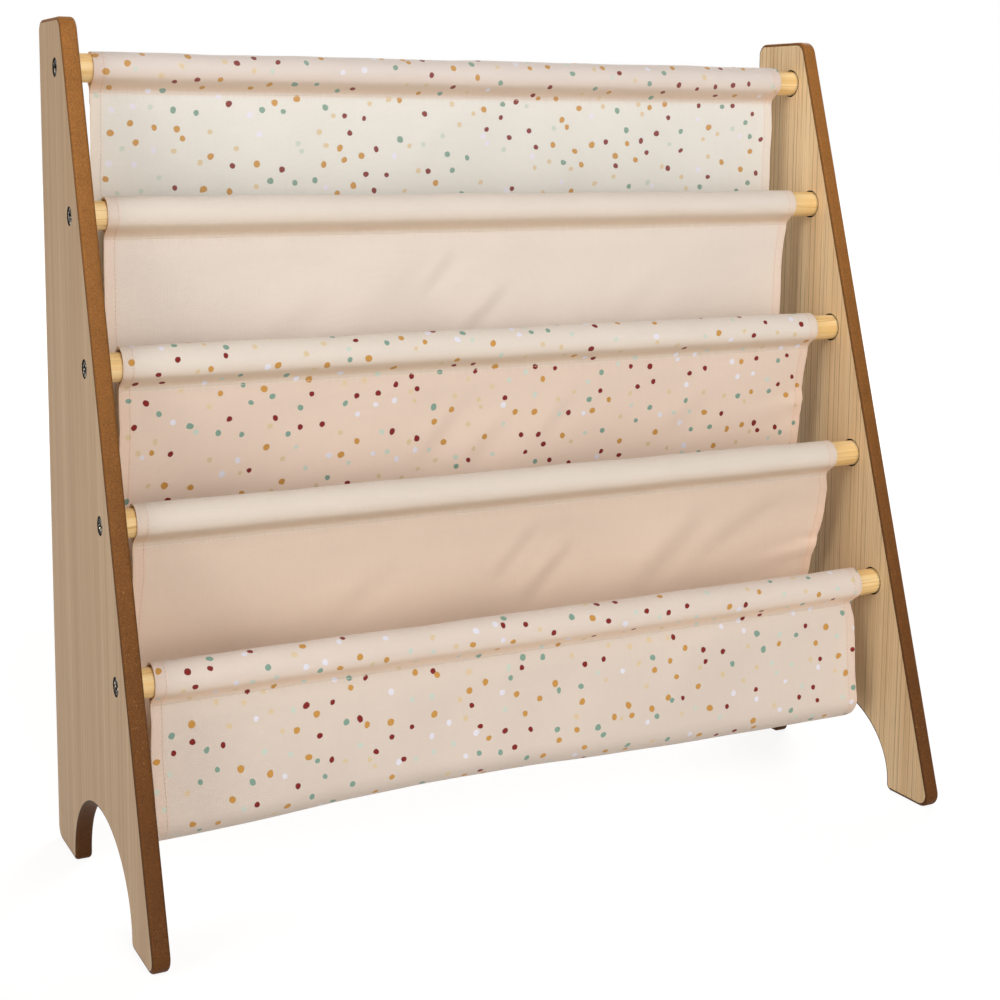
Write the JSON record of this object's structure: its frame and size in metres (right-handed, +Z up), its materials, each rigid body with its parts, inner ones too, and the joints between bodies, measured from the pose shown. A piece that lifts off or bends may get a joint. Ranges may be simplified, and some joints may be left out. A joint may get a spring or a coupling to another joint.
{
  "type": "sling bookshelf",
  "caption": "Low children's bookshelf with sloping side boards, wooden rods and a stepped cloth sling whose pockets hold picture books face out.",
  "frame": {"origin": "on the floor, under the middle of the shelf's bounding box", "axes": "+X to the viewer's right, +Y to the back, +Z up; the open front faces -Y"},
  "size_m": [0.63, 0.2503, 0.6],
  "materials": {
    "board": "satin wood-grain face on brown fibreboard",
    "rod": "smooth bare pine",
    "bolt": "dark plated steel",
    "insert": "plated",
    "dotted_cloth": "printed cotton twill",
    "plain_cloth": "plain cotton twill"
  },
  "bodies": {
    "root": {"side_board_left": "board", "side_board_right": "board", "rod_1": "rod", "bolt_left_1": "bolt", "bolt_right_1": "bolt", "insert_left_1": "insert", "insert_right_1": "insert", "sling_panel_1": "dotted_cloth", "rod_2": "rod", "bolt_left_2": "bolt", "bolt_right_2": "bolt", "insert_left_2": "insert", "insert_right_2": "insert", "sling_panel_2": "plain_cloth", "rod_3": "rod", "bolt_left_3": "bolt", "bolt_right_3": "bolt", "insert_left_3": "insert", "insert_right_3": "insert", "sling_panel_3": "dotted_cloth", "rod_4": "rod", "bolt_left_4": "bolt", "bolt_right_4": "bolt", "insert_left_4": "insert", "insert_right_4": "insert", "sling_panel_4": "plain_cloth", "rod_5": "rod", "bolt_left_5": "bolt", "bolt_right_5": "bolt", "insert_left_5": "insert", "insert_right_5": "insert", "sling_panel_5": "dotted_cloth"}
  },
  "joints": []
}
